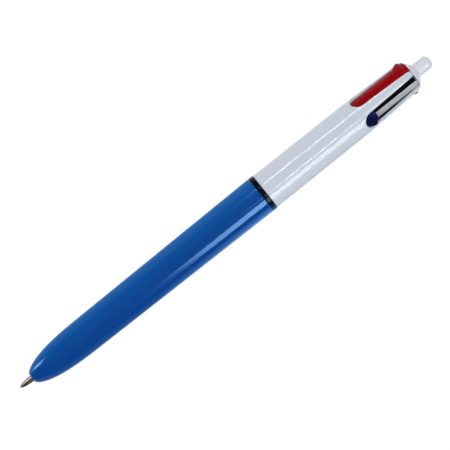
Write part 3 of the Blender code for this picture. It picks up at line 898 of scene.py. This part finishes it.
# A slide as it sits when its tip is in. The pivot is where its refill hangs from it.
PIVOT = 116.0
PIVOT_RADIUS = 2.9
SLIDE_START, SLIDE_HEAD, SLIDE_HALF = 121.5, 143.0, 2.46
PLATE_RADIUS, PLATE_BOTTOM, TAB_BOTTOM = 4.6, 3.36, 3.5
TAB_START, TAB_END, TAB_FALL_LENGTH = 138.86, 142.05, 0.6
TAB_HEIGHT, TAB_RISE, TAB_FALL, TAB_CROWN = 4.72, 0.42, 0.22, 12.0
LEG_END, LEG_WIDTH, LEG_DEPTH = 142.4, (0.15, 1.35), (1.8, 3.8)
STEM_END, STEM_RADIUS, STEM_FOOT_RADIUS = 122.3, 1.5, 1.62
PIN_START, PIN_RADIUS, PIN_SIDES = 112.3, 0.6, 32

REFILL_LENGTH = 101.1
SPRING_SEAT = 93.1
RESTING_TIP_RADIUS = 2.45
BALL_RADIUS = 0.38


def colour_frame(angle):
    """Turn about the pen's axis that takes the top of the pen to a colour's place."""
    return Matrix.Rotation(math.radians(angle), 4, "X")


def slide(colour, angle):
    """A slide: a crowned plate, the raised thumb tab on it, the leg, the stem and the pin.

    Gives back how far it is pushed down.
    """
    _, end = span("slide_" + colour)
    pushed = SLIDE_HEAD - end

    def plate_top(x, y):
        return math.sqrt(PLATE_RADIUS ** 2 - y ** 2)

    def tab_top(x, y):
        share = ease((x - TAB_START) / (TAB_END - 0.5 - TAB_START))
        fall = TAB_FALL * ease((x - TAB_END + TAB_FALL_LENGTH) / TAB_FALL_LENGTH)
        return TAB_HEIGHT + TAB_RISE * share - fall - TAB_CROWN + math.sqrt(TAB_CROWN ** 2 - y ** 2)

    plate_plan = tablet(SLIDE_START, SLIDE_HEAD, SLIDE_HALF, 0.35)
    plate = pillow(plate_plan, (SLIDE_START + 2.5, SLIDE_HEAD - 2.5), PLATE_BOTTOM, plate_top, 0.2)
    tab_plan = tablet(TAB_START, TAB_END, SLIDE_HALF, 0.4, nose=SLIDE_HALF)
    spine = (TAB_START + SLIDE_HALF, TAB_END - TAB_FALL_LENGTH)
    tab = pillow(tab_plan, spine, TAB_BOTTOM, tab_top, 0.24, 9)
    leg = box_mesh((SLIDE_START + 0.02, LEG_END), LEG_WIDTH, LEG_DEPTH, 0.1)
    stem = lathe(softened([(PIVOT + 0.05, 0.0, 0.0), (PIVOT + 0.05, STEM_FOOT_RADIUS, 0.15),
                           (PIVOT + 1.0, STEM_FOOT_RADIUS, 0.15), (PIVOT + 1.0, STEM_RADIUS, 0.05),
                           (STEM_END, STEM_RADIUS, 0.1), (STEM_END, 0.0, 0.0)]),
                 ROUND_SMALL, centre=PIVOT_RADIUS)
    pin = lathe(softened([(PIN_START, 0.0, 0.0), (PIN_START, PIN_RADIUS, 0.2),
                          (PIVOT + 0.5, PIN_RADIUS, 0.0), (PIVOT + 0.5, 0.0, 0.0)]),
                PIN_SIDES, centre=PIVOT_RADIUS)
    bm = merged(plate, [tab, leg, stem, pin])
    around = colour_frame(angle) @ Matrix.Translation((-pushed, 0.0, 0.0))
    name = "slide_" + colour
    place(name + "_button", bm, SLIDES[colour], name + "_body", name, around)
    return pushed


def coil(length):
    """A compression spring below x = 0, of round wire, with closed end turns."""
    wire, radius, turns, per_turn, sides = 0.125, 1.5, 12, 36, 10
    closed = wire * 2.3
    open_pitch = (length - 2 * wire - 2 * closed) / (turns - 2)
    bm = bmesh.new()
    rings = []
    for step in range(turns * per_turn + 1):
        turn = step / per_turn
        x = wire + closed * min(turn, 1.0)
        x += open_pitch * min(max(turn - 1.0, 0.0), turns - 2.0)
        x += closed * max(turn - turns + 1.0, 0.0)
        outward = Vector((0.0, math.sin(2 * math.pi * turn), math.cos(2 * math.pi * turn)))
        ring = []
        for side in range(sides):
            angle = 2 * math.pi * side / sides
            below = Vector((-x + wire * math.cos(angle), 0.0, 0.0))
            ring.append(bm.verts.new(outward * (radius + wire * math.sin(angle)) + below))
        rings.append(ring)
    stitch(bm, rings)
    bm.faces.new(rings[0])
    bm.faces.new(rings[-1])
    return bm


def refill_shapes():
    """Ball, cone, holder and tube of a refill, as profiles along its own axis."""
    ball = [(BALL_RADIUS - BALL_RADIUS * math.cos(turn), BALL_RADIUS * math.sin(turn))
            for turn in spread(0.0, math.pi, 17)]
    ball[0], ball[-1] = (0.0, 0.0), (BALL_RADIUS * 2, 0.0)
    cone = softened([(0.85, 0.0, 0.0), (0.85, 0.41, 0.0), (0.3, 0.41, 0.0), (0.3, 0.46, 0.03),
                     (1.0, 0.67, 0.3), (1.7, 0.81, 0.3), (3.0, 0.93, 0.5), (5.0, 1.0, 0.05),
                     (5.0, 0.68, 0.0), (7.6, 0.68, 0.0), (7.6, 0.0, 0.0)])
    holder = softened([(7.76, 0.0, 0.0), (7.76, 0.75, 0.0), (5.06, 0.75, 0.0), (5.06, 1.0, 0.06),
                       (8.9, 1.0, 0.1), (9.4, 1.12, 0.1), (12.0, 1.12, 0.06), (12.0, 0.72, 0.0),
                       (16.0, 0.72, 0.05), (16.0, 0.0, 0.0)])
    tube = softened([(12.06, 0.8, 0.03), (12.06, 1.2, 0.05), (101.0, 1.2, 0.05), (101.0, 0.8, 0.03)])
    return {"ball": ball, "cone": refined(cone, 0.6), "holder": holder, "tube": refined(tube, 4.0)}


def refill(colour, angle, pushed):
    """The spring and refill of one colour, tilted about the slide's pivot.

    A pushed refill's tip is on the pen's axis, and the others stay beside it.
    """
    tip_radius = 0.0 if pushed > 1.0 else RESTING_TIP_RADIUS
    tilt = math.asin((PIVOT_RADIUS - tip_radius) / REFILL_LENGTH)
    pivot = colour_frame(angle) @ Matrix.Translation((PIVOT - pushed, 0.0, PIVOT_RADIUS))
    pivot = pivot @ Matrix.Rotation(-tilt, 4, "Y")
    length = PIVOT - pushed - SPRING_SEAT
    name = "spring_" + colour
    spring = place(name + "_coil", coil(length), STEEL, None, name, pivot)
    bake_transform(spring)
    finishes = {
        "ball": ("tip_ball_", "ball_metal", BALL),
        "cone": ("tip_cone_", "tip_metal", NICKEL),
        "holder": ("tip_holder_", "holder_brass", BRASS),
        "tube": ("refill_tube_", "tube_" + colour, TUBES[colour]),
    }
    name = "refill_" + colour
    around = pivot @ Matrix.Translation((-REFILL_LENGTH, 0.0, 0.0))
    for part, profile in refill_shapes().items():
        stands_for, slot, finish = finishes[part]
        shape = lathe(profile, ROUND_SMALL)
        place(name + "_" + part, shape, finish, name + "_body", stands_for + colour, around)


# ---------------- floor, light and camera

CAMERA_TURN = math.radians(38.65)
CAMERA_TILT = math.radians(3.8)
CAMERA_DISTANCE = 0.6
VIEW_WIDTH = 0.1287
SENSOR = 36.0
AIM_ALONG = -0.000346
AIM_DOWN = 0.00030

TOWARDS = Vector((0.0, -math.sin(CAMERA_TILT), math.cos(CAMERA_TILT)))
DOWN = Vector((0.0, -math.cos(CAMERA_TILT), -math.sin(CAMERA_TILT)))
ALONG = Vector((1.0, 0.0, 0.0))
CENTRE = Vector((0.0, 0.0, ORIGIN.z))


def camera():
    """A distant camera above the pen, turned so that the pen runs up to the right."""
    right = math.cos(CAMERA_TURN) * ALONG + math.sin(CAMERA_TURN) * DOWN
    up = math.sin(CAMERA_TURN) * ALONG - math.cos(CAMERA_TURN) * DOWN
    data = bpy.data.cameras.new("camera")
    data.sensor_width = SENSOR
    data.lens = SENSOR * CAMERA_DISTANCE / VIEW_WIDTH
    data.clip_start = 0.01
    made = linked("camera", data)
    middle = (cad_low + cad_high) / 2
    aim = Vector((middle.x + AIM_ALONG, 0.0, ORIGIN.z)) + AIM_DOWN * DOWN
    turn = Matrix((right, up, TOWARDS)).transposed().to_4x4()
    made.matrix_world = Matrix.Translation(aim + TOWARDS * CAMERA_DISTANCE) @ turn
    bpy.context.scene.camera = made


def toward(degrees, distance, along):
    """A point round the pen: degrees from the camera's axis, in metres from the pen's axis."""
    angle = math.radians(degrees)
    aside = (TOWARDS * math.cos(angle) + DOWN * math.sin(angle)) * distance
    return CENTRE + aside + ALONG * along


def area_light(name, degrees, distance, along, size, radiance, colour=(1.0, 1.0, 1.0)):
    """A square soft light that lights surfaces and doesn't show as a reflection."""
    data = bpy.data.lights.new(name, "AREA")
    data.shape = "SQUARE"
    data.size = size
    data.energy = radiance * math.pi * size ** 2
    data.color = colour
    made = linked(name, data)
    position = toward(degrees, distance, along)
    away = position - toward(0.0, 0.0, along)
    made.matrix_world = Matrix.Translation(position) @ away.to_track_quat("Z", "Y").to_matrix().to_4x4()
    made.visible_camera = False
    made.visible_glossy = False
    return made


def lit_only(light, pieces):
    """Let a light or card reach only the named pieces."""
    collection = bpy.data.collections.new(light.name + "_receivers")
    for piece in pieces:
        collection.objects.link(bpy.data.objects[piece])
    light.light_linking.receiver_collection = collection


def card(name, grid, radiance, fade=None, colour=(1.0, 1.0, 1.0)):
    """A studio card that shows only as a reflection. grid is rows of points.

    fade = (x start, x end, share at the start) dims it towards one end.
    """
    bm = bmesh.new()
    stitch(bm, [[bm.verts.new(point) for point in row] for row in grid], closed=False)
    mesh = finished(name, bm)
    material, tree, shader = blank(name)
    tree.nodes.remove(shader)
    glow = node(tree, "ShaderNodeEmission", Strength=radiance)
    glow.inputs["Color"].default_value = (*colour, 1.0)
    tree.links.new(glow.outputs[0], tree.nodes["Material Output"].inputs["Surface"])
    if fade:
        place_x = one_axis(tree, "Object", "X")
        strength = remap(tree, place_x, radiance * fade[2], radiance, fade[0], fade[1])
        tree.links.new(strength, glow.inputs["Strength"])
    mesh.materials.append(material)
    made = linked(name, mesh)
    for ray in ("camera", "diffuse", "shadow", "transmission"):
        setattr(made, "visible_" + ray, False)
    return made


BLUE_PIECES = ["lower_barrel_shell", "joint_ring_band"]
WHITE_PIECES = ["upper_barrel_shell", "top_cap_knob"]
FILL_DISTANCE, FILL_SIZE = 0.6, 0.3
CARD_DISTANCE, TIP_CARD_DISTANCE = 0.45, 0.7
CARD_BOTTOM = cad_low.z + 0.0004

# A place along the pen shows what is this many times as far along a card.
STRETCH = 1 + CARD_DISTANCE / CAMERA_DISTANCE

# The degrees round the pen that the key card fills, where it starts and how its end slants.
KEY_NEAR, KEY_WIDTH = 35.5, 28.0
KEY_START, KEY_SLANT = -0.0235, 0.0100
LINE_START, LINE_END = 0.0145, 0.16

NOSE_X = -0.067
NOSE_CARD_DISTANCE, NOSE_CARD_HALF = 0.5, 0.12


def area_lights():
    """One soft light above the pen, and fills from its sides that each light one barrel."""
    area_light("top_softbox", 0.0, 1.0, 0.0, 1.2, 2.1)
    for name, degrees, along, radiance, colour, receivers in (
            ("side_fill_blue", -82.0, -0.03, 9.5, (0.9, 1.0, 0.55), BLUE_PIECES[:1]),
            ("side_fill_white", -82.0, 0.04, 1.2, (0.95, 0.98, 1.0), WHITE_PIECES),
            ("far_fill_white", 88.0, 0.04, 1.3, (0.93, 0.97, 1.0), WHITE_PIECES)):
        side = area_light(name, degrees, FILL_DISTANCE, along, FILL_SIZE, radiance, colour)
        lit_only(side, receivers)


def key_cards():
    """The wide highlight along the barrels, and the thin line on each side of the white one."""
    grid = []
    for share in spread(0.0, 1.0, 7):
        start = (KEY_START + KEY_SLANT * share) * STRETCH
        grid.append([toward(KEY_NEAR + KEY_WIDTH * share, CARD_DISTANCE, x) for x in (start, 0.0, 0.4)])
    card("key_card", grid, 15.5, (-0.042, 0.025, 0.5))
    for name, near, far, slant in (("line_card_left", -44.5, -38.5, 10.0),
                                   ("line_card_right", 18.0, 23.5, -10.0)):
        card(name, [[toward(edge, CARD_DISTANCE, LINE_START * STRETCH),
                     toward(edge + slant, CARD_DISTANCE, LINE_END)] for edge in (near, far)], 22.0)


def low_cards():
    """Cards beside the pen on the floor, and the dim flags that stand behind them."""
    grid = [[Vector((x, y, CARD_BOTTOM)) for x in (-0.09, -0.03, 0.012, 0.16)] for y in (-0.0095, -0.12)]
    lit_only(card("low_card_right", grid, 2.3, (-0.03, 0.012, 0.27), (0.32, 0.72, 1.15)), BLUE_PIECES)
    grid = [[Vector((x, y, CARD_BOTTOM)) for x in (-0.09, 0.0135)] for y in (0.0095, 0.12)]
    card("low_card_left", grid, 0.8, None, (0.35, 0.65, 1.0))
    for name, y, top, radiance in (("flag_right", -0.125, 0.05, 0.05), ("flag_left", 0.125, 0.035, 0.3)):
        card(name, [[Vector((x, y, z)) for x in (-0.4, 0.4)] for z in (CARD_BOTTOM, top)], radiance)


def direction(along, down, towards):
    """A unit vector from its parts along the pen, down the picture and towards the camera."""
    return (ALONG * along + down * DOWN + towards * TOWARDS).normalized()


def end_cards():
    """Cards beyond the pen's writing end, for the metal tip and for the glint on the nose."""
    grid = [[toward(degrees, TIP_CARD_DISTANCE, x) for x in (-0.9, -0.16)]
            for degrees in spread(-100.0, -18.0, 7)]
    tips = [piece.name for piece in bpy.data.objects if piece.name.startswith("refill_")]
    lit_only(card("tip_card", grid, 1.5, None, (1.0, 0.93, 0.90)), tips)
    nose = CENTRE + ALONG * NOSE_X
    upper, lower = direction(-0.677, -0.654, 0.341), direction(-0.512, -0.793, 0.225)
    wide = upper.cross(lower).normalized() * NOSE_CARD_HALF
    grid = [[nose + edge * NOSE_CARD_DISTANCE - wide, nose + edge * NOSE_CARD_DISTANCE + wide]
            for edge in (upper, lower)]
    lit_only(card("nose_card", grid, 11.5), BLUE_PIECES[:1])


def world():
    """A soft studio: bright at the horizon and dark overhead."""
    made = bpy.data.worlds.new("studio")
    bpy.context.scene.world = made
    made.use_nodes = True
    tree = made.node_tree
    ramp = node(tree, "ShaderNodeValToRGB")
    ramp.color_ramp.interpolation = "EASE"
    horizon, overhead = ramp.color_ramp.elements
    horizon.color = (0.96, 0.98, 1.0, 1.0)
    overhead.position = 0.12
    overhead.color = (0.05, 0.05, 0.055, 1.0)
    tree.links.new(one_axis(tree, "Generated", "Z"), ramp.inputs["Fac"])
    tree.links.new(ramp.outputs["Color"], tree.nodes["Background"].inputs["Color"])


def floor():
    """A plain pale floor that glows a little, as a light table does."""
    bm = bmesh.new()
    bmesh.ops.create_circle(bm, cap_ends=True, segments=96, radius=4.0)
    mesh = finished("floor", bm)
    material, _, shader = blank("floor_pale")
    looks = {"Base Color": (0.3, 0.3, 0.3, 1.0), "Roughness": 0.9, "Specular IOR Level": 0.0,
             "Emission Color": (1.0, 1.0, 1.0, 1.0), "Emission Strength": 0.86}
    for socket, value in looks.items():
        shader.inputs[socket].default_value = value
    mesh.materials.append(material)
    made = linked("floor", mesh)
    made.location.z = cad_low.z - 0.0001


lower_barrel()
joint_ring()
upper_barrel()
top_cap()
guide_core()
spring_guide()
pocket_clip()
for colour, angle in COLOURS.items():
    refill(colour, angle, slide(colour, angle))
camera()
area_lights()
key_cards()
low_cards()
end_cards()
world()
floor()
bpy.context.scene.view_settings.view_transform = "Standard"

import json
